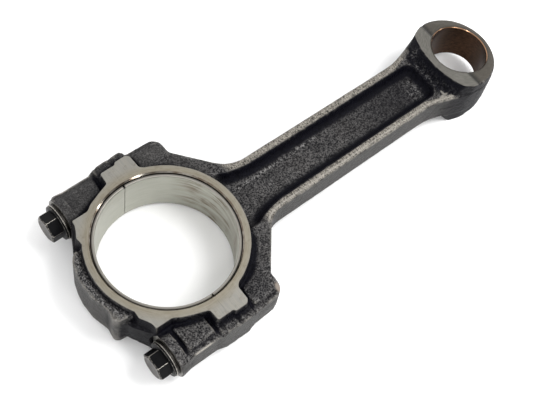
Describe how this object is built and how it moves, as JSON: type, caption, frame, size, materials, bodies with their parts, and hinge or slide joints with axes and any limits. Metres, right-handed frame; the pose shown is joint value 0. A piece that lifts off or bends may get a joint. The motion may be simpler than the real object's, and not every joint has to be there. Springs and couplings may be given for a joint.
{
  "type": "connecting rod",
  "caption": "Forged I-beam engine connecting rod with a split big end, removable bearing cap, flanged hex cap bolts, plain bearing shells and a bushed small end.",
  "frame": {"origin": "bottom centre of the bounding box, on the surface that the rod lies on", "axes": "+X from the bolt heads on the cap to the small end, +Z along the crankpin and wrist-pin bores"},
  "size_m": [0.2398, 0.0996, 0.0278],
  "materials": {
    "forged_steel": "dark forged scale, rough, with ground machined faces",
    "bearing_overlay": "soft grey overlay, satin, lightly streaked",
    "bronze": "turned bronze, tarnished brown",
    "black_bolt_steel": "black oxide, worn at the edges",
    "washer_steel": "dark hardened steel",
    "pin_steel": "ground steel"
  },
  "bodies": {
    "rod": {"rod_body": "forged_steel", "upper_bearing_shell": "bearing_overlay", "small_end_bush": "bronze", "cap_dowel_pin_1": "pin_steel", "cap_dowel_pin_2": "pin_steel"},
    "cap": {"rod_cap": "forged_steel", "lower_bearing_shell": "bearing_overlay"},
    "washer_1": {"bolt_washer_1": "washer_steel"},
    "bolt_1": {"cap_bolt_1": "black_bolt_steel"},
    "washer_2": {"bolt_washer_2": "washer_steel"},
    "bolt_2": {"cap_bolt_2": "black_bolt_steel"}
  },
  "joints": [
    {"name": "cap_slide", "type": "slide", "parent": "rod", "child": "cap", "axis": [-1, 0, 0], "range_m": [0, 0.055]},
    {"name": "bolt_1_draw", "type": "slide", "parent": "cap", "child": "washer_1", "axis": [-1, 0, 0], "range_m": [0, 0.027]},
    {"name": "bolt_1_turn", "type": "hinge", "parent": "washer_1", "child": "bolt_1", "pos_m": [-0.1069, 0.04, 0.0139], "axis": [-1, 0, 0], "range_deg": [0, 6480]},
    {"name": "bolt_2_draw", "type": "slide", "parent": "cap", "child": "washer_2", "axis": [-1, 0, 0], "range_m": [0, 0.027]},
    {"name": "bolt_2_turn", "type": "hinge", "parent": "washer_2", "child": "bolt_2", "pos_m": [-0.1069, -0.04, 0.0139], "axis": [-1, 0, 0], "range_deg": [0, 6480]}
  ],
  "couplings": [
    {"joint": "bolt_1_turn", "follows": "bolt_1_draw", "rad_per_m": 4188.8},
    {"joint": "bolt_2_turn", "follows": "bolt_2_draw", "rad_per_m": 4188.8}
  ]
}
